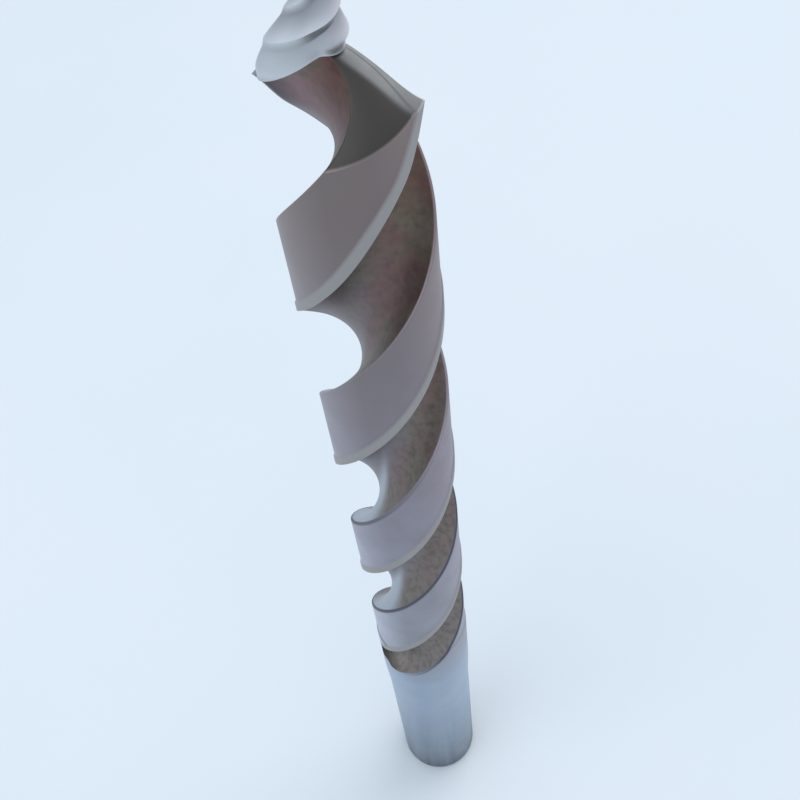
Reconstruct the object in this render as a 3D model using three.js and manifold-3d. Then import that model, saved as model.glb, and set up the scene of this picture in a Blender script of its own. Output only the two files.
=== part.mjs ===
// Spiral wood auger bit, standing on its shank: a round shank, a fluted body with two
// right-hand flutes and two cutting lips, and a conical lead screw on a spigot at the tip.
// Millimetres, +Z up along the bit's axis, origin at the middle of the shank's end face.

import * as THREE from 'three';
import { mergeVertices } from 'three/addons/utils/BufferGeometryUtils.js';
import Module from 'manifold-3d';

// Driving dimensions
const bodyDiameter = 18;
const shankDiameter = 17.4;
const overallLength = 230;
const weldHeight = 46;
const fluteEnd = 66;
const lipHeight = 207;
const pieceGap = 0.3;

// Flutes: round grooves milled along a helix, shallower towards the shank
const fluteLead = 69.4;
const fluteRadius = 8.2;
const runoutLength = 5;
const webHalfThickness = 0.9;
const webTaper = 0.03;
const fluteFacingAtLips = THREE.MathUtils.degToRad(34.5);

// Part of the way up, the flutes are narrower by these angles at the rim. Each range lists the
// heights where the narrowing starts, is full, starts to fade, and ends.
const heelNarrowing = THREE.MathUtils.degToRad(10);
const heelRange = [128, 152, 165, 205];
const lipNarrowing = THREE.MathUtils.degToRad(7);
const lipRange = [174, 184, 186, 199];

// Head: the lips rise to the middle, and the end of each land falls away behind its lip. Each
// lip's rake face is ground, which takes the land's leading edge back by lipTrim at the rim and
// the middle of the lip by about lipHollow more, so that the lip is nearly straight.
const lipRise = 5.4;
const heelDrop = 3;
const lipTrim = THREE.MathUtils.degToRad(7);
const lipHollow = THREE.MathUtils.degToRad(4.5);
const lipTrimLength = 7;
const spigotRadius = 0.5;
const spigotHeight = 2.5;

// Lead screw: a cone with a two-start thread. Above one lip it flares out to the lip's edge.
const screwBaseRadius = 1.5;
const screwTipRadius = 0.3;
const threadStarts = 2;
const threadSpacing = 3.5;
const threadDepth = 0.65;
const threadFadeIn = 2;
const crestAngle = THREE.MathUtils.degToRad(165);
const crestHeight = 213.2;
const flareAngle = THREE.MathUtils.degToRad(160);
const flareSpread = THREE.MathUtils.degToRad(37);
const flareReach = 6.35;
const flareBottom = 207.5;
const flareTop = 221.2;
const crestSag = 1;

const bodyRadius = bodyDiameter / 2;
const headHeight = lipHeight + lipRise;
const fluteSegments = 10;
const landSegments = 6;

function steel(color, roughness, metalness) {
    return new THREE.MeshStandardMaterial({ color, roughness, metalness });
}

const wasm = await Module();
wasm.setup();

// A closed three.js geometry as a solid that can be joined and cut.
function toSolid(geometry) {
    const bare = geometry.clone();
    bare.deleteAttribute('normal');
    bare.deleteAttribute('uv');
    const merged = mergeVertices(bare, 1e-4);
    const vertProperties = new Float32Array(merged.getAttribute('position').array);
    const triVerts = new Uint32Array(merged.index.array);
    return new wasm.Manifold(new wasm.Mesh({ numProp: 3, vertProperties, triVerts }));
}

function toGeometry(solid) {
    const mesh = solid.getMesh();
    const geometry = new THREE.BufferGeometry();
    geometry.setAttribute('position', new THREE.BufferAttribute(mesh.vertProperties, 3));
    geometry.setIndex(new THREE.BufferAttribute(mesh.triVerts, 1));
    geometry.computeVertexNormals();
    return geometry;
}

function uprightCylinder(radius, bottom, top, sides) {
    const geometry = new THREE.CylinderGeometry(radius, radius, top - bottom, sides);
    geometry.rotateX(Math.PI / 2);
    geometry.translate(0, 0, (bottom + top) / 2);
    return geometry;
}

// How far a flute's deepest line lies from the axis at height z. Over the run-out it climbs
// to the body's surface, which it reaches at fluteEnd.
function fluteFloor(z) {
    const runout = Math.max(0, 1 - (z - fluteEnd) / runoutLength);
    const web = webHalfThickness + webTaper * (lipHeight - z);
    return web + (bodyRadius - web) * runout * runout;
}

function shareInRange(z, [start, full, fading, end]) {
    return THREE.MathUtils.smoothstep(z, start, full) * (1 - THREE.MathUtils.smoothstep(z, fading, end));
}

// One flute's arc at height z, facing +X, as points from its lip side to its heel side.
// Where it runs out it is a shallow hollow of a fixed width.
const shallowDepth = 0.3;
const shallowHalfWidth = 0.18;

function fluteArc(z) {
    const depth = bodyRadius - fluteFloor(z);
    const points = [];
    if (depth < shallowDepth) {
        for (let i = 0; i <= fluteSegments; i++) {
            const side = 2 * i / fluteSegments - 1;
            const angle = side * shallowHalfWidth;
            const radius = bodyRadius - Math.max(0, depth) * (1 - side * side);
            points.push(new THREE.Vector2(radius * Math.cos(angle), radius * Math.sin(angle)));
        }
        return points;
    }
    const centre = fluteFloor(z) + fluteRadius;
    const cosine = (bodyRadius ** 2 + centre ** 2 - fluteRadius ** 2) / (2 * bodyRadius * centre);
    const opening = Math.acos(cosine);
    const reach = Math.atan2(bodyRadius * Math.sin(opening), centre - bodyRadius * Math.cos(opening));
    const ground = THREE.MathUtils.smoothstep(z, lipHeight - lipTrimLength, lipHeight);
    const lipTurn = lipNarrowing * shareInRange(z, lipRange) - lipTrim * ground;
    const heelTurn = -heelNarrowing * shareInRange(z, heelRange);
    for (let i = 0; i <= fluteSegments; i++) {
        const turn = reach * (2 * i / fluteSegments - 1);
        const point = new THREE.Vector2(centre - fluteRadius * Math.cos(turn), fluteRadius * Math.sin(turn));
        const outward = THREE.MathUtils.smoothstep(point.length(), 0.3 * bodyRadius, bodyRadius);
        const way = Math.min(1, point.length() / bodyRadius);
        const hollow = lipHollow * ground * 4 * way * (1 - way);
        const sideways = turn < 0 ? lipTurn * outward - hollow : heelTurn * outward;
        points.push(point.rotateAround(new THREE.Vector2(), sideways));
    }
    return points;
}

// The whole section at height z: two flutes and the two lands between them.
function section(z) {
    const arc = fluteArc(z);
    const heelAngle = arc[fluteSegments].angle();
    const landWidth = arc[0].angle() - Math.PI - heelAngle;
    const points = [];
    for (let half = 0; half < 2; half++) {
        const facing = half * Math.PI;
        for (const point of arc) points.push(point.clone().rotateAround(new THREE.Vector2(), facing));
        for (let i = 1; i < landSegments; i++) {
            const angle = facing + heelAngle + landWidth * i / landSegments;
            points.push(new THREE.Vector2(bodyRadius * Math.cos(angle), bodyRadius * Math.sin(angle)));
        }
    }
    return points;
}

// How far the end of the head lies below the tip's middle, for point number i of the section.
// The lips are the first half of each flute's arc; behind them the land falls to its heel.
function headFall(i, point) {
    const perHalf = fluteSegments + landSegments;
    const place = i % perHalf;
    const middle = fluteSegments / 2;
    const heel = place <= fluteSegments
        ? Math.max(0, place - middle) / middle
        : 1 - (place - fluteSegments) / landSegments;
    return lipRise * point.length() / bodyRadius + heelDrop * heel;
}

function flutedBody() {
    const bottom = weldHeight + pieceGap / 2;
    const layers = 96;
    const plainShare = (fluteEnd - 1 - bottom) / (headHeight - bottom);
    const outline = section(headHeight);
    const shape = new THREE.Shape(outline);
    const depth = headHeight - bottom;
    const geometry = new THREE.ExtrudeGeometry(shape, { depth, steps: layers, bevelEnabled: false });
    const position = geometry.getAttribute('position');
    const place = new THREE.Vector2();
    for (let v = 0; v < position.count; v++) {
        place.set(position.getX(v), position.getY(v));
        let nearest = 0;
        for (let i = 1; i < outline.length; i++) {
            if (outline[i].distanceTo(place) < outline[nearest].distanceTo(place)) nearest = i;
        }
        const layer = Math.round(position.getZ(v) / depth * layers);
        const fall = headFall(nearest, outline[nearest]);
        const share = layer === 0 ? 0 : THREE.MathUtils.lerp(plainShare, 1, (layer - 1) / (layers - 1));
        const z = bottom + (depth - fall) * share;
        const point = section(z)[nearest];
        const turn = fluteFacingAtLips + 2 * Math.PI * (z - lipHeight) / fluteLead;
        point.rotateAround(new THREE.Vector2(), turn);
        position.setXYZ(v, point.x, point.y, z);
    }
    const spigot = uprightCylinder(spigotRadius, lipHeight - 5, headHeight + spigotHeight, 16);
    const solid = toSolid(geometry).add(toSolid(spigot));
    const mesh = new THREE.Mesh(toGeometry(solid), steel(0x7d7672, 0.45, 0.9));
    mesh.name = 'fluted_body';
    return mesh;
}

function shank() {
    const radius = shankDiameter / 2;
    const top = weldHeight - pieceGap / 2;
    const footChamfer = 1;
    const profile = [
        new THREE.Vector2(0, 0),
        new THREE.Vector2(radius - footChamfer, 0),
        new THREE.Vector2(radius, footChamfer),
        new THREE.Vector2(radius, top),
        new THREE.Vector2(0, top),
    ];
    const geometry = new THREE.LatheGeometry(profile, 48);
    geometry.rotateX(Math.PI / 2);
    const mesh = new THREE.Mesh(geometry, steel(0x8a94a3, 0.35, 0.9));
    mesh.name = 'shank';
    return mesh;
}

// How far the screw's surface stands out from its root cone, at an angle and a height.
function screwRelief(angle, z, base) {
    const away = THREE.MathUtils.euclideanModulo(angle - flareAngle + Math.PI, 2 * Math.PI) - Math.PI;
    const aside = Math.exp(-((away / flareSpread) ** 2));
    const flare = flareReach * aside * (1 - THREE.MathUtils.smoothstep(z, flareBottom, flareTop));
    const climb = 2 * Math.PI * (z - crestHeight + crestSag * aside) / threadSpacing;
    const phase = threadStarts * (angle - crestAngle) - climb;
    const fade = THREE.MathUtils.smoothstep(z, base, base + threadFadeIn) * (overallLength - z);
    const depth = threadDepth * (1 - 0.6 * aside) * fade / (overallLength - headHeight);
    return flare + depth * (0.5 + 0.5 * Math.cos(phase));
}

function leadScrew() {
    const bottom = headHeight + pieceGap;
    const rowsPerCrest = 6;
    const rows = Math.round((overallLength - bottom) / threadSpacing * rowsPerCrest);
    const profile = [new THREE.Vector2(0, 0)];
    for (let row = 0; row <= rows; row++) {
        const share = row / rows;
        profile.push(new THREE.Vector2(THREE.MathUtils.lerp(screwBaseRadius, screwTipRadius, share), share));
    }
    profile.push(new THREE.Vector2(0, 1));
    const geometry = new THREE.LatheGeometry(profile, 32);
    geometry.rotateX(Math.PI / 2);
    const position = geometry.getAttribute('position');
    const slope = lipRise / bodyRadius;
    for (let v = 0; v < position.count; v++) {
        const x = position.getX(v);
        const y = position.getY(v);
        const share = position.getZ(v);
        const radius = Math.hypot(x, y);
        if (radius < screwTipRadius / 2) {
            position.setZ(v, THREE.MathUtils.lerp(bottom, overallLength, share));
            continue;
        }
        // The underside follows the cone on which the lips lie, so it seats on the head with an even gap.
        const angle = Math.atan2(y, x);
        const flared = screwBaseRadius + screwRelief(angle, flareBottom, flareBottom);
        const base = bottom - slope * flared;
        const z = THREE.MathUtils.lerp(base, overallLength, share);
        const scale = 1 + screwRelief(angle, z, base) / radius;
        position.setXYZ(v, x * scale, y * scale, z);
    }
    const boreTop = headHeight + spigotHeight + pieceGap;
    const bore = uprightCylinder(spigotRadius + pieceGap, lipHeight, boreTop, 16);
    const solid = toSolid(geometry).subtract(toSolid(bore));
    const mesh = new THREE.Mesh(toGeometry(solid), steel(0xa9b0b8, 0.3, 0.95));
    mesh.name = 'lead_screw';
    return mesh;
}

const augerBit = new THREE.Group();
augerBit.add(shank(), flutedBody(), leadScrew());

export default augerBit;
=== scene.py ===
"""Looks for a spiral wood auger bit standing on its shank: fine steel surfaces round the frame.

All sizes are metres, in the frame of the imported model: +Z along the bit, origin at the middle
of the foot.
"""

import math

import bpy
import numpy as np
from mathutils import Matrix, Vector


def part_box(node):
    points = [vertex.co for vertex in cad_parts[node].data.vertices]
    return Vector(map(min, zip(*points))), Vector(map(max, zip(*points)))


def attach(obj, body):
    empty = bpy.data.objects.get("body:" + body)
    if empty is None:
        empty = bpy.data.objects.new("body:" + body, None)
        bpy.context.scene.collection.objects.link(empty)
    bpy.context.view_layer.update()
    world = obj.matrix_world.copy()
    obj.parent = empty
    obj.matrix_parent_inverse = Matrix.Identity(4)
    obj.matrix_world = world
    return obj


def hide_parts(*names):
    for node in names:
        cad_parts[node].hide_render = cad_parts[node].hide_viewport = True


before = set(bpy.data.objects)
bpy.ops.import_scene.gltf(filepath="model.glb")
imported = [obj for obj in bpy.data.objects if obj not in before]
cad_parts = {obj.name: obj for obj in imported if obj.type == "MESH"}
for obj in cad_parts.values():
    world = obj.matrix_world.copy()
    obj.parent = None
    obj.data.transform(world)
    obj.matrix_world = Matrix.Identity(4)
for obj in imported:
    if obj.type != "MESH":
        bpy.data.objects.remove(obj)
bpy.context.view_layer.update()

# ---------------------------------------------------------------- sizes worked out from the frame
shank_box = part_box("shank")
body_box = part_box("fluted_body")
screw_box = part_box("lead_screw")

BODY_RADIUS = body_box[1].x
SHANK_RADIUS = shank_box[1].x
WELD_HEIGHT = 0.5 * (shank_box[1].z + body_box[0].z)
TIP_HEIGHT = screw_box[1].z
SPIGOT_LENGTH = 0.0025
HEAD_HEIGHT = body_box[1].z - SPIGOT_LENGTH
LIP_RISE = 0.0054
LIP_HEIGHT = HEAD_HEIGHT - LIP_RISE

# Gap between pieces that touch, too fine to be seen.
HAIRLINE = 0.00002

# ---------------------------------------------------------------- flutes
LEAD = 0.0694
FLUTE_RADIUS = 0.0082
FLUTE_END = 0.0660
RUNOUT = 0.0050
WEB = 0.0009
WEB_TAPER = 0.03
FACING_AT_LIPS = math.radians(34.5)

# Above this height the web no longer thins.
WEB_TOP = LIP_HEIGHT - 0.004

# Where a flute is shallower than SHALLOW, it is a hollow of a fixed angular width (radians).
SHALLOW = 0.0001
SHALLOW_HALF_WIDTH = 0.10

# A land's rounded heel and its clearance grow in over EDGE_DEPTH of the flute's depth, and the
# flute's colour over CUT_DEPTH.
EDGE_DEPTH = 0.003
CUT_DEPTH = 0.0003

# Each lip's rake face is ground, which takes the land's leading edge back near the head, and
# the middle of the lip by LIP_HOLLOW more, so that the lip is nearly straight.
LIP_TRIM = math.radians(7)
LIP_HOLLOW = math.radians(4.5)
LIP_TRIM_LENGTH = 0.007

# Part of the way up, the flutes are narrower by these angles at the rim. Each range lists the
# heights where the narrowing starts, is full, starts to fade, and ends.
HEEL_NARROWING = math.radians(10)
HEEL_RANGE = (0.128, 0.152, 0.165, 0.205)
LIP_NARROWING = math.radians(7)
LIP_RANGE = (0.174, 0.184, 0.186, 0.199)

# The trim and the narrowing leave a flute's wall alone inside this share of the radius.
STILL_CORE = 0.3

# ---------------------------------------------------------------- lands
TAPER_TOP = 0.060
MARGIN_WIDTH = 0.0014
MARGIN_STEP = 0.0005
CLEARANCE = 0.00020
CLEARANCE_END = 0.0770
CLEARANCE_FADE = 0.0008
HEEL_ROUND = 0.0004
LEAST_ROUND = 0.00002

# ---------------------------------------------------------------- end faces of the lands
# Behind each lip, a narrow face falls gently, and the rest of the land falls more steeply. At
# the web there is no fall, and it is full from this share of the way out to the rim.
PRIMARY_WIDTH = 0.0018
PRIMARY_SLOPE = 0.16
SECONDARY_SLOPE = 0.36
FULL_RELIEF = 0.25

# The ground finish fades out over these shares of the narrow face's width.
GROUND_FADE = (0.8, 1.15)

# A ground strip runs under each lip too. At the web it has this share of its width at the rim,
# and it fades out over these shares of its width.
RAKE_STRIP = 0.0020
STRIP_AT_WEB = 0.2
STRIP_FADE = (0.75, 1.15)

# The heel walls of the flutes carry a painted highlight on one side of the bit. Each pair is where
# the highlight starts and is full, or starts to fade and ends: as a share of the flute from lip to
# heel, as an angle away from the highlighted side (radians), and as heights.
HEEL_HIGHLIGHT_SIDE = math.radians(185)
HEEL_HIGHLIGHT_ACROSS = (0.45, 0.60)
HEEL_HIGHLIGHT_TURN = (0.72, 1.17)
HEEL_HIGHLIGHT_BOTTOM = (0.082, 0.092)
HEEL_HIGHLIGHT_TOP = (0.145, 0.175)

# ---------------------------------------------------------------- points of one half section
ARC_STEPS = 60
HALF_ARC = ARC_STEPS // 2
ROUND_STEPS = 6
LAND_STEPS = 30
STEP_STEPS = 5
MARGIN_STEPS = 8
LAND_COUNT = ROUND_STEPS + LAND_STEPS + STEP_STEPS + MARGIN_STEPS
HALF_COUNT = ARC_STEPS + LAND_COUNT
FULL_COUNT = 2 * HALF_COUNT

# ---------------------------------------------------------------- lead screw
SPACING = 0.0035
STARTS = 2
CREST_HEIGHT = 0.2132
CREST_ANGLE = math.radians(165)
SEAT_GAP = 0.0001
ROOT_AT_HEAD = 0.0015
ROOT_AT_TIP = 0.0002
THREAD_DEPTH = 0.00065
THREAD_FADE = 0.0020
TIP_FADE = 0.7

# The share of a thread that its upper flank takes, and how hollow its two flanks are, as
# powers: 1 would be straight.
UPPER_FLANK = 0.74
UPPER_HOLLOW = 1.2
LOWER_HOLLOW = 1.3

# On one side the screw flares out over the lip. There the thread is flatter, and its crests
# sag.
FLARE_ANGLE = math.radians(160)
FLARE_SPREAD = math.radians(37)
FLARE_REACH = 0.00635
FLARE_BOTTOM = 0.2075
FLARE_TOP = 0.2212
FLARE_FLATTENING = 0.6
CREST_SAG = 0.0010


# ---------------------------------------------------------------- shape helpers
def smoothstep(low, high, value):
    t = np.clip((value - low) / (high - low), 0, 1)
    return t * t * (3 - 2 * t)


def share_in_range(z, limits):
    start, full, fading, end = limits
    return float(smoothstep(start, full, z) * (1 - smoothstep(fading, end, z)))


def turn_between(angle, other):
    """How far one angle lies from another, from -pi to pi."""
    return (angle - other + math.pi) % (2 * math.pi) - math.pi


def on_circle(radius, angle):
    return np.stack([radius * np.cos(angle), radius * np.sin(angle)], -1)


def new_mesh(name, points, faces, attributes, material, sharp_degrees=35):
    """A smooth-shaded mesh with one number per point for each named attribute."""
    mesh = bpy.data.meshes.new(name)
    mesh.from_pydata(points.tolist(), [], faces)
    mesh.validate()
    for key, values in attributes.items():
        attribute = mesh.attributes.new(key, "FLOAT", "POINT")
        attribute.data.foreach_set("value", np.asarray(values, np.float32))
    mesh.polygons.foreach_set("use_smooth", [True] * len(mesh.polygons))
    mesh.set_sharp_from_angle(angle=math.radians(sharp_degrees))
    mesh.materials.append(material)
    piece = bpy.data.objects.new(name, mesh)
    bpy.context.scene.collection.objects.link(piece)
    return piece


def wall_faces(rows, count):
    """Quads between closed rings of points that are numbered ring by ring, from the bottom."""
    return [
        (low + i, low + (i + 1) % count, low + count + (i + 1) % count, low + count + i)
        for low in range(0, (rows - 1) * count, count)
        for i in range(count)
    ]


def ring_mesh(name, rings, material, attributes, **options):
    """A closed body from a stack of rings with equally many points, its ends closed by fans."""
    rows, count = rings.shape[:2]
    points = np.concatenate([rings.reshape(-1, 3), rings[:1].mean(1), rings[-1:].mean(1)])
    low, high = len(points) - 2, len(points) - 1
    last = (rows - 1) * count
    faces = wall_faces(rows, count)
    faces += [((i + 1) % count, i, low) for i in range(count)]
    faces += [(last + i, last + (i + 1) % count, high) for i in range(count)]
    return new_mesh(name, points, faces, attributes, material, **options)


# ---------------------------------------------------------------- shank
def make_shank(material):
    """A turned round bar with a rounded foot edge."""
    sides = 160
    edge = 0.0011
    foot_rings = (0.05, 0.3, 0.6)
    top = WELD_HEIGHT - HAIRLINE / 2
    top_edge = 0.0001
    top_inset = 0.00004
    profile = [(SHANK_RADIUS * share, 0.0) for share in foot_rings]
    profile += [
        (SHANK_RADIUS - edge * (1 - math.sin(a)), edge * (1 - math.cos(a)))
        for a in np.linspace(0, math.pi / 2, 9)
    ]
    profile += [(SHANK_RADIUS, z) for z in np.linspace(edge * 1.5, top - top_edge, 60)]
    profile += [(SHANK_RADIUS - top_inset, top)]
    around = np.linspace(0, 2 * math.pi, sides, endpoint=False)
    rings = np.array([
        np.stack([r * np.cos(around), r * np.sin(around), np.full(sides, z)], 1)
        for r, z in profile
    ])
    return ring_mesh("shank_bar", rings, material, {})


# ---------------------------------------------------------------- section of the fluted body
def flute_floor(z):
    """Distance of a flute's deepest line from the axis."""
    runout = np.maximum(0, 1 - (z - FLUTE_END) / RUNOUT)
    web = WEB + WEB_TAPER * (LIP_HEIGHT - z)
    return web + (BODY_RADIUS - web) * runout**2


def body_radius(z):
    grow = smoothstep(WELD_HEIGHT, TAPER_TOP, z)
    return SHANK_RADIUS + (BODY_RADIUS - SHANK_RADIUS) * grow


def twisted(points, z):
    turn = FACING_AT_LIPS + 2 * math.pi * (z - LIP_HEIGHT) / LEAD
    c, s = np.cos(turn), np.sin(turn)
    x, y = points[..., 0], points[..., 1]
    return np.stack([x * c - y * s, x * s + y * c], -1)


def meeting(radius, centre):
    """Where a circle of this radius meets the flute's: its angle, and its turn round the flute."""
    cosine = (radius**2 + centre**2 - FLUTE_RADIUS**2) / (2 * radius * centre)
    angle = np.arccos(np.clip(cosine, -1, 1))
    return angle, np.arctan2(radius * np.sin(angle), centre - radius * np.cos(angle))


def flute_arc(z, floor, radius, heel_radius, rounding):
    """A flute's section from lip side to heel side, and the angles of its two rims.

    Before twisting, the flute faces +X. The arc stops short of the heel's rim by the rounding."""
    centre = floor + FLUTE_RADIUS
    lead_angle, lead_turn = meeting(radius, centre)
    heel_angle, heel_turn = meeting(heel_radius, centre)
    turn = np.linspace(-lead_turn, heel_turn - rounding / FLUTE_RADIUS, ARC_STEPS + 1)
    x = centre - FLUTE_RADIUS * np.cos(turn)
    y = FLUTE_RADIUS * np.sin(turn)
    distance = np.hypot(x, y)
    way = np.minimum(1, distance / radius)
    outward = smoothstep(STILL_CORE * radius, radius, distance)
    ground = float(smoothstep(LIP_HEIGHT - LIP_TRIM_LENGTH, LIP_HEIGHT, z))
    lip_turn = LIP_TRIM * ground - LIP_NARROWING * share_in_range(z, LIP_RANGE)
    heel_turn_in = HEEL_NARROWING * share_in_range(z, HEEL_RANGE)
    hollow = LIP_HOLLOW * ground * 4 * way * (1 - way)
    back = np.where(turn < 0, lip_turn * outward + hollow, heel_turn_in * outward)
    arc = on_circle(distance, np.arctan2(y, x) - back)
    return arc, lead_angle + lip_turn, heel_angle - heel_turn_in


def half_section(z):
    """Half of the section at one height, flute first and then the land, before twisting."""
    radius = float(body_radius(z))
    floor = float(flute_floor(min(z, WEB_TOP)))
    depth = radius - floor
    if depth < SHALLOW:
        lead_angle = heel_angle = SHALLOW_HALF_WIDTH
        side = np.linspace(-1, 1, ARC_STEPS + 1)
        arc = on_circle(radius - max(0, depth) * (1 - side**2), side * SHALLOW_HALF_WIDTH)
        heel_radius = radius
        rounding = LEAST_ROUND
    else:
        grown = float(smoothstep(0, EDGE_DEPTH, depth))
        cleared = smoothstep(CLEARANCE_END - CLEARANCE_FADE, CLEARANCE_END + CLEARANCE_FADE, z)
        heel_radius = radius - CLEARANCE * grown * float(cleared)
        rounding = LEAST_ROUND + (HEEL_ROUND - LEAST_ROUND) * grown
        arc, lead_angle, heel_angle = flute_arc(z, floor, radius, heel_radius, rounding)

    # The heel's edge is rounded by a curve from the flute's wall to the land.
    start = heel_angle + rounding / heel_radius
    corner, after = on_circle(heel_radius, np.array([heel_angle, start]))
    t = np.linspace(0, 1, ROUND_STEPS + 1)[1:, None]
    bend = (1 - t) ** 2 * arc[-1] + 2 * t * (1 - t) * corner + t**2 * after

    # Behind the lip, the margin stands at the full radius, and a step leads down to the land.
    margin_end = math.pi - lead_angle
    margin_start = margin_end - MARGIN_WIDTH / radius
    step_start = margin_start - MARGIN_STEP / radius
    land = on_circle(heel_radius, np.linspace(start, step_start, LAND_STEPS + 1)[1:])
    rise = np.linspace(0, 1, STEP_STEPS + 1)[1:]
    step = on_circle(
        heel_radius + (radius - heel_radius) * smoothstep(0, 1, rise),
        step_start + (margin_start - step_start) * rise,
    )
    margin = on_circle(radius, np.linspace(margin_start, margin_end, MARGIN_STEPS + 1)[1:-1])
    return np.concatenate([arc, bend, land, step, margin])


def full_section(z):
    half = half_section(z)
    return np.concatenate([half, -half])


# ---------------------------------------------------------------- end faces of the fluted body
def end_outline(land):
    """Point numbers of the section round one end face: its heel's wall, its rim and its lip.

    The walls run from the web out to the rim, and the rim from the heel to the lip."""
    here = land * HALF_COUNT
    there = (1 - land) * HALF_COUNT
    heel = np.arange(here + HALF_ARC, here + ARC_STEPS + 1)
    rim = np.append(np.arange(here + ARC_STEPS, here + HALF_COUNT), there)
    lip = np.arange(there + HALF_ARC, there - 1, -1)
    return heel, rim, lip


def relief(distance):
    """How far the end face falls at a distance behind the lip."""
    first = np.minimum(distance, PRIMARY_WIDTH) * PRIMARY_SLOPE
    return first + np.maximum(distance - PRIMARY_WIDTH, 0) * SECONDARY_SLOPE


def end_patch(flat, land):
    """One land's end face as a grid: its places before twisting, heights, distances to the lip.

    flat is the section at the head. Rows run from the web to the rim, columns from the heel to
    the lip. The grid spans evenly between its four edges."""
    heel, rim, lip = (flat[numbers] for numbers in end_outline(land))
    v = np.linspace(0, 1, LAND_COUNT + 1)[None, :, None]
    w = np.linspace(0, 1, HALF_ARC + 1)[:, None, None]
    web = heel[0] * (1 - v) + lip[0] * v
    chord = heel[-1] * (1 - v) + lip[-1] * v
    sides = heel[:, None] * (1 - v) + lip[:, None] * v
    ends = web * (1 - w) + rim[None] * w
    corners = web * (1 - w) + chord * w
    grid = sides + ends - corners
    distance = np.linalg.norm(grid - lip[:, None], axis=-1)
    lip_z = LIP_HEIGHT + LIP_RISE * (1 - np.linalg.norm(lip, axis=-1) / BODY_RADIUS)
    z = lip_z[:, None] - relief(distance) * smoothstep(0, FULL_RELIEF, w[..., 0])
    return grid, z, distance


def head_heights(patches):
    """Height of the head at each point of the section, from the edges of the end faces."""
    top = np.zeros(FULL_COUNT)
    for land, (_, z, _) in enumerate(patches):
        heel, rim, lip = end_outline(land)
        top[heel] = z[:, 0]
        top[rim] = z[-1]
        top[lip] = z[:, -1]
    return top


def number_patches(patches, top_ring, total):
    """Point numbers of each end face's grid. Inner points get new numbers, from total on.

    The end faces share the wall's top ring and, along the web, one line of points."""
    numbered = []
    web_line = None
    for land, (_, z, _) in enumerate(patches):
        heel, rim, lip = end_outline(land)
        number = np.full(z.shape, -1)
        number[:, 0] = top_ring + heel
        number[-1] = top_ring + rim
        number[:, -1] = top_ring + lip
        if web_line is not None:
            number[0] = web_line[::-1]
        fresh = number < 0
        number[fresh] = total + np.arange(np.count_nonzero(fresh))
        total += np.count_nonzero(fresh)
        web_line = number[0]
        numbered.append((number, fresh))
    return numbered


def grid_faces(number):
    """Quads of a numbered grid, facing up."""
    corners = (number[:-1, 1:], number[1:, 1:], number[1:, :-1], number[:-1, :-1])
    return np.stack(corners, -1).reshape(-1, 4).tolist()


# ---------------------------------------------------------------- the whole fluted body
def body_levels(bottom):
    """Heights of the wall's rows. They lie closest where the flutes' edges spread fast."""
    spreading = FLUTE_END - 0.0005
    spread_out = FLUTE_END + 0.0060
    return np.concatenate([
        np.linspace(bottom, spreading, 30, endpoint=False),
        np.linspace(spreading, spread_out, 150, endpoint=False),
        np.linspace(spread_out, HEAD_HEIGHT, 360),
    ])


def wall_points(level, heights):
    """The wall's points: at each one's own height, its place on the twisted section."""
    stack = np.array([full_section(z) for z in level])
    flat = np.empty_like(stack)
    for i in range(FULL_COUNT):
        for axis in range(2):
            flat[:, i, axis] = np.interp(heights[:, i], level, stack[:, i, axis])
    return np.concatenate([twisted(flat, heights), heights[..., None]], -1)


def wall_masks(points, top_z):
    """What each point of the wall is part of, as numbers from 0 to 1 for the material."""
    heights = points[..., 2]
    place = np.arange(FULL_COUNT) % HALF_COUNT
    in_arc = place <= ARC_STEPS
    across = np.where(in_arc, place / ARC_STEPS, 0)
    on_rim = (place > ARC_STEPS) & (place <= ARC_STEPS + ROUND_STEPS)
    on_margin = np.clip((place - (HALF_COUNT - MARGIN_STEPS - STEP_STEPS)) / STEP_STEPS, 0, 1)
    on_margin = np.where(place == 0, 1.0, on_margin)
    cut = smoothstep(0, CUT_DEPTH, BODY_RADIUS - flute_floor(heights))

    lip_side = np.clip(1 - place / HALF_ARC, 0, 1)
    strip = RAKE_STRIP * (STRIP_AT_WEB + (1 - STRIP_AT_WEB) * np.sqrt(lip_side))
    below_lip = (top_z - heights) / strip
    ground = smoothstep(0, 0.1, lip_side) * (1 - smoothstep(*STRIP_FADE, below_lip))

    # A painted highlight on the heel walls of one side of the bit.
    bearing = np.arctan2(points[..., 1], points[..., 0])
    aside = np.abs(turn_between(bearing, HEEL_HIGHLIGHT_SIDE))
    heel_highlight = smoothstep(*HEEL_HIGHLIGHT_ACROSS, across) * (1 - smoothstep(*HEEL_HIGHLIGHT_TURN, aside))
    heel_highlight = heel_highlight * smoothstep(*HEEL_HIGHLIGHT_BOTTOM, heights) * (1 - smoothstep(*HEEL_HIGHLIGHT_TOP, heights))
    return {
        "flute": in_arc * cut,
        "margin": on_margin * cut,
        "across": np.broadcast_to(across, heights.shape),
        "rim": on_rim * cut,
        "ground": ground,
        "heel_highlight": heel_highlight,
        "finish_end": np.zeros(heights.shape),
    }


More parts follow.
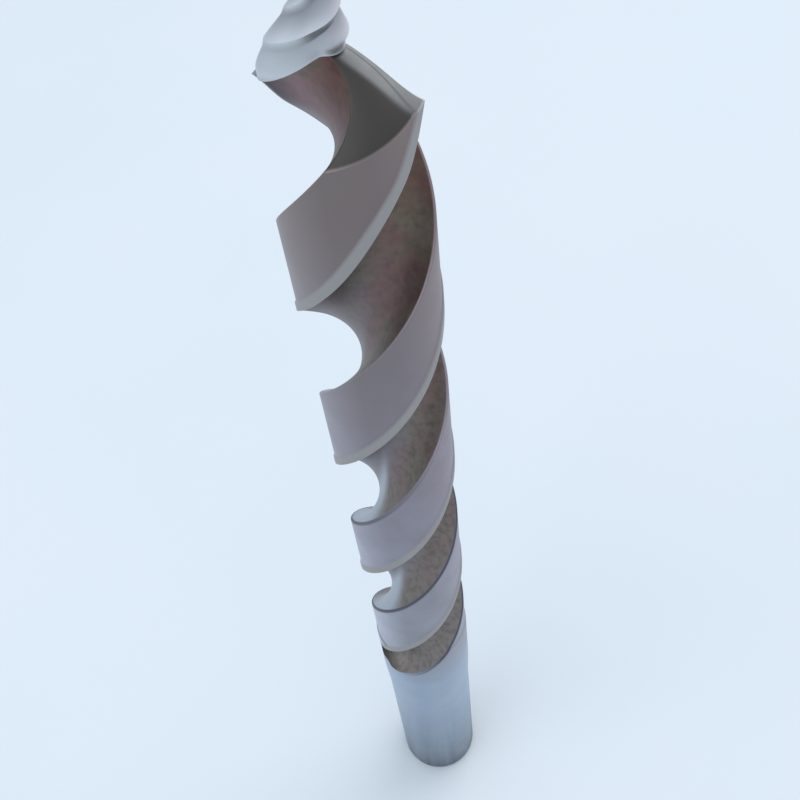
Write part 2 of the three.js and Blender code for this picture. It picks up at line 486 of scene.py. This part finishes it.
def make_body(material):
    """Twisted walls up to the head, a relieved end face on each land, and a flat bottom."""
    bottom = WELD_HEIGHT + HAIRLINE / 2
    flat_head = full_section(HEAD_HEIGHT)
    patches = [end_patch(flat_head, land) for land in range(2)]
    top_z = head_heights(patches)
    level = body_levels(bottom)
    share = (level - bottom) / (HEAD_HEIGHT - bottom)
    wall = wall_points(level, bottom + share[:, None] * (top_z - bottom))
    points = [wall.reshape(-1, 3)]
    values = {key: [mask.ravel()] for key, mask in wall_masks(wall, top_z).items()}
    rows = len(level)
    faces = wall_faces(rows, FULL_COUNT)

    numbered = number_patches(patches, (rows - 1) * FULL_COUNT, rows * FULL_COUNT)
    for (grid, z, distance), (number, fresh) in zip(patches, numbered):
        inner_z = z[fresh]
        points.append(np.column_stack([twisted(grid[fresh], inner_z), inner_z]))
        own = {
            "ground": 1 - smoothstep(*GROUND_FADE, distance[fresh] / PRIMARY_WIDTH),
            "finish_end": np.ones(len(inner_z)),
        }
        for key, parts in values.items():
            parts.append(own.get(key, np.zeros(len(inner_z))))
        faces += grid_faces(number)

    centre = sum(len(part) for part in points)
    points.append(np.array([[0, 0, bottom]]))
    for parts in values.values():
        parts.append(np.zeros(1))
    faces += [((i + 1) % FULL_COUNT, i, centre) for i in range(FULL_COUNT)]
    attributes = {key: np.concatenate(parts) for key, parts in values.items()}
    return new_mesh(
        "spiral_body", np.concatenate(points), faces, attributes, material, sharp_degrees=28
    )


# ---------------------------------------------------------------- lead screw
def make_screw(material):
    """A conical screw point with a two-start right-hand thread, flaring out over one lip."""
    sides, rows = 220, 560
    around = np.linspace(0, 2 * math.pi, sides, endpoint=False)[None]
    aside = np.exp(-((turn_between(around, FLARE_ANGLE) / FLARE_SPREAD) ** 2))
    seat = HEAD_HEIGHT + SEAT_GAP
    base = seat - LIP_RISE / BODY_RADIUS * (ROOT_AT_HEAD + FLARE_REACH * aside)
    z = base + (TIP_HEIGHT - base) * np.linspace(0, 1, rows)[:, None]
    upward = np.clip((z - HEAD_HEIGHT) / (TIP_HEIGHT - HEAD_HEIGHT), 0, 1)
    root = ROOT_AT_HEAD + (ROOT_AT_TIP - ROOT_AT_HEAD) * upward
    flare = FLARE_REACH * aside * (1 - smoothstep(FLARE_BOTTOM, FLARE_TOP, z))

    # Across each thread, height is 1 on the crest and 0 in the root.
    climb = (z - CREST_HEIGHT + CREST_SAG * aside) / SPACING
    phase = climb - STARTS * (around - CREST_ANGLE) / (2 * math.pi)
    part = phase - np.floor(phase)
    upper = (1 - np.minimum(part / UPPER_FLANK, 1)) ** UPPER_HOLLOW
    lower = np.clip((part - UPPER_FLANK) / (1 - UPPER_FLANK), 0, 1) ** LOWER_HOLLOW
    height = np.maximum(upper, lower)
    fading = (1 - FLARE_FLATTENING * aside) * (1 - upward) ** TIP_FADE
    depth = THREAD_DEPTH * fading * smoothstep(0, THREAD_FADE, z - base)
    radius = root + flare + depth * height
    rings = np.stack([radius * np.cos(around), radius * np.sin(around), z], -1)
    values = {"height": np.append(height.ravel(), [0, 0])}
    screw = ring_mesh("screw_point", rings, material, values, sharp_degrees=32)

    # The underside is a hollow cone round the head's middle, where the screw is seated.
    screw.data.vertices[rows * sides].co.z = seat
    return screw


# ---------------------------------------------------------------- material helpers
def node(tree, kind, **settings):
    made = tree.nodes.new(kind)
    for key, value in settings.items():
        setattr(made, key, value)
    return made


def wire(tree, source, target):
    tree.links.new(source, target)


def attribute_value(tree, name):
    return node(tree, "ShaderNodeAttribute", attribute_name=name).outputs["Fac"]


def noise(tree, scale, detail=4.0, roughness=0.55, stretch=(1, 1, 1)):
    """Noise in the object's own space, scale in features per metre."""
    place = node(tree, "ShaderNodeTexCoord")
    mapping = node(tree, "ShaderNodeMapping")
    mapping.inputs["Scale"].default_value = stretch
    texture = node(tree, "ShaderNodeTexNoise")
    texture.inputs["Scale"].default_value = scale
    texture.inputs["Detail"].default_value = detail
    texture.inputs["Roughness"].default_value = roughness
    wire(tree, place.outputs["Object"], mapping.inputs["Vector"])
    wire(tree, mapping.outputs["Vector"], texture.inputs["Vector"])
    return texture.outputs["Fac"]


def object_axes(tree):
    """X, across the bit, and Z, up along it, in the object's own space."""
    place = node(tree, "ShaderNodeTexCoord")
    axes = node(tree, "ShaderNodeSeparateXYZ")
    wire(tree, place.outputs["Object"], axes.inputs["Vector"])
    return axes.outputs["X"], axes.outputs["Z"]


def ramp(tree, source, stops):
    made = node(tree, "ShaderNodeValToRGB")
    elements = made.color_ramp.elements
    while len(elements) < len(stops):
        elements.new(0.5)
    for element, (position, colour) in zip(elements, stops):
        element.position = position
        element.color = (*colour, 1)
    wire(tree, source, made.inputs["Fac"])
    return made.outputs["Color"]


def spread(tree, source, low, high, start, end):
    """From low, where the source is at start, to high, where it is at end, and level beyond."""
    made = node(tree, "ShaderNodeMapRange")
    made.inputs["From Min"].default_value = start
    made.inputs["From Max"].default_value = end
    made.inputs["To Min"].default_value = low
    made.inputs["To Max"].default_value = high
    wire(tree, source, made.inputs["Value"])
    return made.outputs["Result"]


# Socket numbers of a Mix node that mixes colours.
MIX_FACTOR = 0
MIX_FIRST = 6
MIX_SECOND = 7
MIX_RESULT = 2


def mix(tree, factor, first, second, blend="MIX"):
    """Mix of two colours, each a tuple or a socket, by a factor from a socket."""
    made = node(tree, "ShaderNodeMix", data_type="RGBA", blend_type=blend)
    wire(tree, factor, made.inputs[MIX_FACTOR])
    for source, target in ((first, MIX_FIRST), (second, MIX_SECOND)):
        if isinstance(source, tuple):
            made.inputs[target].default_value = (*source, 1)
        else:
            wire(tree, source, made.inputs[target])
    return made.outputs[MIX_RESULT]


def maths(tree, operation, *sources):
    made = node(tree, "ShaderNodeMath", operation=operation)
    for slot, source in enumerate(sources):
        if isinstance(source, float):
            made.inputs[slot].default_value = source
        else:
            wire(tree, source, made.inputs[slot])
    return made.outputs[0]


def both(tree, first, second):
    """Product of two masks."""
    return maths(tree, "MULTIPLY", first, second)


def bump(tree, shader, height, strength, distance):
    made = node(tree, "ShaderNodeBump")
    made.inputs["Strength"].default_value = strength
    made.inputs["Distance"].default_value = distance
    wire(tree, height, made.inputs["Height"])
    wire(tree, made.outputs["Normal"], shader.inputs["Normal"])


def steel(name):
    material = bpy.data.materials.new(name)
    material.use_nodes = True
    tree = material.node_tree
    shader = tree.nodes["Principled BSDF"]
    shader.inputs["Metallic"].default_value = 1.0
    return material, tree, shader


# ---------------------------------------------------------------- shank's steel
# The shank's tones: painted shade makes them darker towards the foot, and a painted reflection
# makes them paler at the flanks.
BAR_TONES_TOP = 0.050
BAR_SHADE_TONES = (
    (0.00, (0.120, 0.140, 0.160)),
    (0.15, (0.185, 0.220, 0.260)),
    (0.40, (0.245, 0.300, 0.365)),
    (0.95, (0.355, 0.430, 0.520)),
)
BAR_STREAK = (0.40, 0.45, 0.52)
BAR_FLANK_REFLECTION = (1.22, 1.18, 1.15)
BAR_FLANK_SPAN = (0.002, 0.0085)


def bar_tone_with_painted_light(tree):
    """Colour of the plain round parts: blue-grey, with painted shade darker towards the foot and a
    painted reflection paler at the flanks.

    Faint streaks run along the axis."""
    streaks = noise(tree, 420, 4, 0.6, (1, 1, 0.04))
    sideways, height = object_axes(tree)
    colour = ramp(tree, spread(tree, height, 0.0, 1.0, 0.0, BAR_TONES_TOP), BAR_SHADE_TONES)
    colour = mix(tree, spread(tree, streaks, 0.0, 0.25, 0.42, 0.62), colour, BAR_STREAK)
    flank = spread(tree, maths(tree, "ABSOLUTE", sideways), 0.0, 1.0, *BAR_FLANK_SPAN)
    return mix(tree, flank, colour, BAR_FLANK_REFLECTION, "MULTIPLY")


def shank_steel():
    material, tree, shader = steel("turned_shank_steel")
    turned = noise(tree, 900, 3, 0.6, (0.05, 0.05, 9))
    cloud = noise(tree, 90, 4, 0.6)
    # Base colour with painted shade towards the foot and a painted reflection at the flanks.
    wire(tree, bar_tone_with_painted_light(tree), shader.inputs["Base Color"])
    wire(tree, spread(tree, cloud, 0.40, 0.52, 0.3, 0.7), shader.inputs["Roughness"])
    bump(tree, shader, turned, 0.10, 0.00008)
    return material


# ---------------------------------------------------------------- fluted body's steel
# The lands' tones run from the shank to the head, over the heights TONES_BOTTOM to TONES_TOP: the
# steel's warm grey at the head, and towards the shank a painted reflection of the pale floor,
# bluer and paler.
TONES_BOTTOM = 0.06
TONES_TOP = 0.21
LAND_TINT_AND_REFLECTION = (
    (0.20, (0.328, 0.333, 0.378)),
    (0.47, (0.305, 0.285, 0.335)),
    (0.71, (0.250, 0.218, 0.235)),
    (0.92, (0.222, 0.180, 0.172)),
)
LAND_STAIN = (0.27, 0.245, 0.23)
# Painted light: the lands are paler on both flanks of the bit, and more so low on the left.
LEFT_FLANK_LIGHT = (1.36, 1.38, 1.39)
LOW_LEFT_FLANK_LIGHT = (1.15, 1.15, 1.15)
RIGHT_FLANK_LIGHT = (1.20, 1.14, 1.14)
HEEL_EDGE = (0.11, 0.11, 0.13)
CLEARANCE_SHADE = (0.10, 0.10, 0.11)
CLEARANCE_SHADE_STRENGTH = 0.7
MARGIN = (0.355, 0.335, 0.325)

# In the flutes: blotches of brown oxide near the head, and greyer oxide towards the shank.
BROWN_BLOTCHES = (
    (0.28, (0.130, 0.070, 0.068)),
    (0.45, (0.185, 0.108, 0.102)),
    (0.58, (0.180, 0.150, 0.112)),
    (0.75, (0.220, 0.170, 0.160)),
)
GREY_OXIDE = (0.245, 0.225, 0.205)
OXIDE_SPECKS = (0.085, 0.080, 0.065)
# Painted light and shade in the flutes: paler on the left and darker on the right near the head, a
# highlight down the middle and on one side's heel walls, and shadow on the lip side and at the
# flutes' left end.
HEAD_LIT_LEFT = (1.25, 1.15, 1.25)
HEAD_SHADED_RIGHT = (0.78, 0.56, 0.57)
MIDDLE_HIGHLIGHT_STEEL = (0.31, 0.32, 0.36)
LIP_WALL_SHADOW = (0.085, 0.085, 0.11)
HEEL_HIGHLIGHT_STEEL = (0.42, 0.45, 0.49)
GROOVE_END_SHADE = (0.045, 0.050, 0.040)

GROUND_STEEL = (0.44, 0.46, 0.49)
END_RELIEF = (0.070, 0.063, 0.057)
END_GROUND = (0.170, 0.172, 0.170)

# Heights over which these tones fade in or out.
LOW_LEFT_TOP = (0.095, 0.115)
HEEL_EDGE_TOP = (0.125, 0.150)
LINE_BOTTOM = (CLEARANCE_END - 0.0008, CLEARANCE_END)
LINE_TOP = (CLEARANCE_END, CLEARANCE_END + 0.0012)
PLAIN_TOP = (0.062, 0.075)
HEAD_TONE_BOTTOM = (0.188, 0.196)
MIDDLE_HIGHLIGHT_BOTTOM = (0.078, 0.090)
MIDDLE_HIGHLIGHT_TOP = (0.160, 0.190)
GROOVE_SHADE_TOP = (0.080, 0.084)

# Places across the bit, from left to right, over which these tones fade in or out.
LEFT_FLANK_SPAN = (-0.0085, -0.0030)
RIGHT_FLANK_SPAN = (0.0020, 0.0070)
HEAD_TONE_SPAN = (-0.0035, 0.0)
GROOVE_SHADE_SPAN = (-0.0080, -0.0054)
LINE_SPAN = (0.0, 0.004)

# Shares of a flute's width, from lip to heel, over which these tones fade.
LIP_SHADOW_SHARE = (0.02, 0.22)
MIDDLE_HIGHLIGHT_SHARE = (0.50, 0.74)


def land_colour(tree, cloud, along, sideways, height):
    """Warm grey, with a painted reflection that makes it bluer and paler towards the shank, and
    painted light that makes it paler on both flanks of the bit.
    """
    colour = ramp(tree, along, LAND_TINT_AND_REFLECTION)
    colour = mix(tree, spread(tree, cloud, 0.0, 0.35, 0.35, 0.75), colour, LAND_STAIN)
    left = spread(tree, sideways, 1.0, 0.0, *LEFT_FLANK_SPAN)
    colour = mix(tree, left, colour, LEFT_FLANK_LIGHT, "MULTIPLY")
    low_left = both(tree, left, spread(tree, height, 1.0, 0.0, *LOW_LEFT_TOP))
    colour = mix(tree, low_left, colour, LOW_LEFT_FLANK_LIGHT, "MULTIPLY")
    right = spread(tree, sideways, 0.0, 1.0, *RIGHT_FLANK_SPAN)
    return mix(tree, right, colour, RIGHT_FLANK_LIGHT, "MULTIPLY")


def groove_colour(tree, cloud, grit, along, sideways, height):
    """Oxide in the flutes, with a painted highlight in the middle and on one side's heel walls,
    painted shadow at the lip side and at the left end, and painted light and shade near the head.
    """
    across = attribute_value(tree, "across")
    brown = ramp(tree, cloud, BROWN_BLOTCHES)
    oxide = mix(tree, spread(tree, along, 0.8, 0.0, 0.2, 0.85), brown, GREY_OXIDE)
    oxide = mix(tree, spread(tree, grit, 0.0, 0.6, 0.42, 0.80), oxide, OXIDE_SPECKS)
    # Near the head, painted light makes the flutes paler on the left, and painted shade makes them
    # darker and redder on the right.
    right = spread(tree, sideways, 0.0, 1.0, *HEAD_TONE_SPAN)
    head_light_and_shade = mix(tree, right, HEAD_LIT_LEFT, HEAD_SHADED_RIGHT)
    head = spread(tree, height, 0.0, 1.0, *HEAD_TONE_BOTTOM)
    oxide = mix(tree, head, oxide, head_light_and_shade, "MULTIPLY")

    # A painted highlight down the middle of the flute, blotched by the noise.
    highlighted = mix(tree, spread(tree, cloud, 0.45, 0.75, 0.35, 0.7), oxide, MIDDLE_HIGHLIGHT_STEEL)
    middle = spread(tree, across, 0.8, 0.0, *MIDDLE_HIGHLIGHT_SHARE)
    middle = both(tree, middle, spread(tree, height, 1.0, 0.0, *MIDDLE_HIGHLIGHT_TOP))
    middle = both(tree, middle, spread(tree, height, 0.0, 1.0, *MIDDLE_HIGHLIGHT_BOTTOM))
    oxide = mix(tree, middle, oxide, highlighted)
    # Painted shadow under the land's overhanging leading edge, on the lip side of the flute.
    oxide = mix(tree, spread(tree, across, 0.7, 0.0, *LIP_SHADOW_SHARE), oxide, LIP_WALL_SHADOW)
    # Painted highlight on the heel walls of one side of the bit.
    oxide = mix(tree, attribute_value(tree, "heel_highlight"), oxide, HEEL_HIGHLIGHT_STEEL)
    # Painted shade at the left end of the flutes' run-out.
    far_left = spread(tree, sideways, 0.88, 0.0, *GROOVE_SHADE_SPAN)
    low = spread(tree, height, 1.0, 0.0, *GROOVE_SHADE_TOP)
    return mix(tree, both(tree, far_left, low), oxide, GROOVE_END_SHADE)


def clearance_step_shade(tree, off_flute, sideways, height):
    """Painted shade: a thin dark line along the step where the clearance behind the margin ends,
    faint on the right.
    """
    rising = spread(tree, height, 0.0, CLEARANCE_SHADE_STRENGTH, *LINE_BOTTOM)
    falling = spread(tree, height, CLEARANCE_SHADE_STRENGTH, 0.0, *LINE_TOP)
    line = both(tree, maths(tree, "MINIMUM", rising, falling), off_flute)
    return both(tree, line, spread(tree, sideways, 1.0, 0.2, *LINE_SPAN))


def body_steel():
    material, tree, shader = steel("fluted_body_steel")
    cloud = noise(tree, 120, 5, 0.62)
    fine = noise(tree, 1500, 4, 0.6)
    grit = noise(tree, 1000, 2, 0.5)
    sideways, height = object_axes(tree)
    along = spread(tree, height, 0.0, 1.0, TONES_BOTTOM, TONES_TOP)
    flute = attribute_value(tree, "flute")
    off_flute = maths(tree, "SUBTRACT", 1.0, flute)
    ground = attribute_value(tree, "ground")

    land = land_colour(tree, cloud, along, sideways, height)
    groove = groove_colour(tree, cloud, grit, along, sideways, height)
    colour = mix(tree, flute, land, groove)
    heel_edge = both(
        tree, attribute_value(tree, "rim"), spread(tree, height, 1.0, 0.0, *HEEL_EDGE_TOP)
    )
    colour = mix(tree, heel_edge, colour, HEEL_EDGE)
    # Painted shade along the step where the clearance ends.
    line = clearance_step_shade(tree, off_flute, sideways, height)
    colour = mix(tree, line, colour, CLEARANCE_SHADE)
    colour = mix(tree, attribute_value(tree, "margin"), colour, MARGIN)
    # Low on the body, the plain part takes the bar's colour, with its painted shade and painted
    # reflection.
    plain = both(tree, spread(tree, height, 1.0, 0.0, *PLAIN_TOP), off_flute)
    colour = mix(tree, plain, colour, bar_tone_with_painted_light(tree))
    colour = mix(tree, ground, colour, GROUND_STEEL)
    end_colour = mix(tree, ground, END_RELIEF, END_GROUND)
    colour = mix(tree, attribute_value(tree, "finish_end"), colour, end_colour)
    wire(tree, colour, shader.inputs["Base Color"])
    wire(tree, spread(tree, cloud, 0.40, 0.54, 0.3, 0.7), shader.inputs["Roughness"])
    bump(tree, shader, maths(tree, "ADD", fine, grit), 0.10, 0.0001)
    return material


# ---------------------------------------------------------------- lead screw's steel
# Tones from the thread's root to its crest: painted shade in the root and painted light on the
# crest.
THREAD_SHADE_TONES = (
    (0.0, (0.310, 0.320, 0.335)),
    (0.4, (0.410, 0.420, 0.435)),
    (0.8, (0.540, 0.560, 0.575)),
    (1.0, (0.600, 0.615, 0.630)),
)
THREAD_STAIN = (0.44, 0.45, 0.465)
FLARE_STEEL = (0.64, 0.66, 0.68)
FLARE_STEEL_TOP = (0.2105, 0.2155)
SCREW_RIGHT_HIGHLIGHT = (1.22, 1.13, 1.10)
SCREW_HIGHLIGHT_SPAN = (-0.0005, 0.0020)


def screw_steel():
    material, tree, shader = steel("ground_screw_steel")
    cloud = noise(tree, 260, 4, 0.6)
    fine = noise(tree, 2200, 3, 0.6, (1, 1, 4))
    sideways, up = object_axes(tree)
    # Painted shade in the thread's roots, painted light on its crests.
    colour = ramp(tree, attribute_value(tree, "height"), THREAD_SHADE_TONES)
    colour = mix(tree, spread(tree, cloud, 0.0, 0.3, 0.4, 0.75), colour, THREAD_STAIN)
    colour = mix(tree, spread(tree, up, 0.60, 0.0, *FLARE_STEEL_TOP), colour, FLARE_STEEL)
    # Painted highlight: the screw's right side is paler and warmer.
    right = spread(tree, sideways, 0.0, 1.0, *SCREW_HIGHLIGHT_SPAN)
    colour = mix(tree, right, colour, SCREW_RIGHT_HIGHLIGHT, "MULTIPLY")
    wire(tree, colour, shader.inputs["Base Color"])
    wire(tree, spread(tree, cloud, 0.38, 0.50, 0.3, 0.7), shader.inputs["Roughness"])
    bump(tree, shader, fine, 0.08, 0.00005)
    return material


# ---------------------------------------------------------------- floor, light and camera
FLOOR_TONES = (
    (0.3, (0.630, 0.680, 0.695)),
    (0.7, (0.660, 0.700, 0.710)),
)
FLOOR_HALF_WIDTH = 1.5
FLOOR_CELLS = 24
SKY_COLOUR = (0.80, 0.87, 1.0)

CAMERA_DISTANCE = 0.0824
CAMERA_HEIGHT = 0.2708
CAMERA_PITCH = math.radians(55.0)
CAMERA_YAW = math.radians(1.32)
CAMERA_ROLL = math.radians(7.96)
CAMERA_LENS = 46.3


def floor_paper():
    material = bpy.data.materials.new("pale_floor")
    material.use_nodes = True
    tree = material.node_tree
    shader = tree.nodes["Principled BSDF"]
    wire(tree, ramp(tree, noise(tree, 6, 3, 0.5), FLOOR_TONES), shader.inputs["Base Color"])
    shader.inputs["Roughness"].default_value = 0.8
    return material


def make_floor():
    side = FLOOR_CELLS + 1
    line = np.linspace(-FLOOR_HALF_WIDTH, FLOOR_HALF_WIDTH, side)
    points = np.array([(x, y, 0.0) for y in line for x in line])
    faces = [
        (row + i, row + i + 1, row + side + i + 1, row + side + i)
        for row in range(0, FLOOR_CELLS * side, side)
        for i in range(FLOOR_CELLS)
    ]
    floor = new_mesh("floor", points, faces, {}, floor_paper())


def make_world():
    """Even pale daylight from all around."""
    world = bpy.data.worlds.new("studio")
    bpy.context.scene.world = world
    world.use_nodes = True
    background = world.node_tree.nodes["Background"]
    background.inputs["Color"].default_value = (*SKY_COLOUR, 1)


def soft_light(name, place, size, power, colour):
    """A round lamp, turned to the middle of the bit."""
    light = bpy.data.lights.new(name, "AREA")
    light.shape = "DISK"
    light.size = size
    light.energy = power
    light.color = colour
    lamp = bpy.data.objects.new(name, light)
    lamp.location = place
    aim = Vector((0, 0, TIP_HEIGHT / 2)) - Vector(place)
    lamp.rotation_euler = aim.to_track_quat("-Z", "Y").to_euler()
    bpy.context.scene.collection.objects.link(lamp)


def make_camera():
    """In front of the bit, a little above its tip, looking steeply down and a little rolled."""
    level_part = math.cos(CAMERA_PITCH)
    forward = Vector((
        math.sin(CAMERA_YAW) * level_part,
        math.cos(CAMERA_YAW) * level_part,
        -math.sin(CAMERA_PITCH),
    ))
    level = Vector((math.cos(CAMERA_YAW), -math.sin(CAMERA_YAW), 0))
    upward = level.cross(forward)
    right = level * math.cos(CAMERA_ROLL) - upward * math.sin(CAMERA_ROLL)
    up = level * math.sin(CAMERA_ROLL) + upward * math.cos(CAMERA_ROLL)
    data = bpy.data.cameras.new("camera")
    data.sensor_width = 36
    data.lens = CAMERA_LENS
    data.clip_start = 0.005
    camera = bpy.data.objects.new("camera", data)
    turn = Matrix((right, up, -forward)).transposed().to_4x4()
    camera.matrix_world = Matrix.Translation((0, -CAMERA_DISTANCE, CAMERA_HEIGHT)) @ turn
    bpy.context.scene.collection.objects.link(camera)
    bpy.context.scene.camera = camera


# ---------------------------------------------------------------- the scene
make_camera()
make_floor()
make_world()
soft_light("key", place=(0.5, 0.45, 1.0), size=0.9, power=4.5, colour=(1, 0.98, 0.96))
soft_light("fill", place=(-0.6, -0.3, 0.8), size=0.8, power=2, colour=(0.86, 0.93, 1))
bpy.context.scene.view_settings.view_transform = "Standard"

for piece, cad_node, slot in (
    (make_shank(shank_steel()), "shank", "shank_steel"),
    (make_body(body_steel()), "fluted_body", "body_steel"),
    (make_screw(screw_steel()), "lead_screw", "screw_steel"),
):
    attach(piece, "root")
    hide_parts(cad_node)
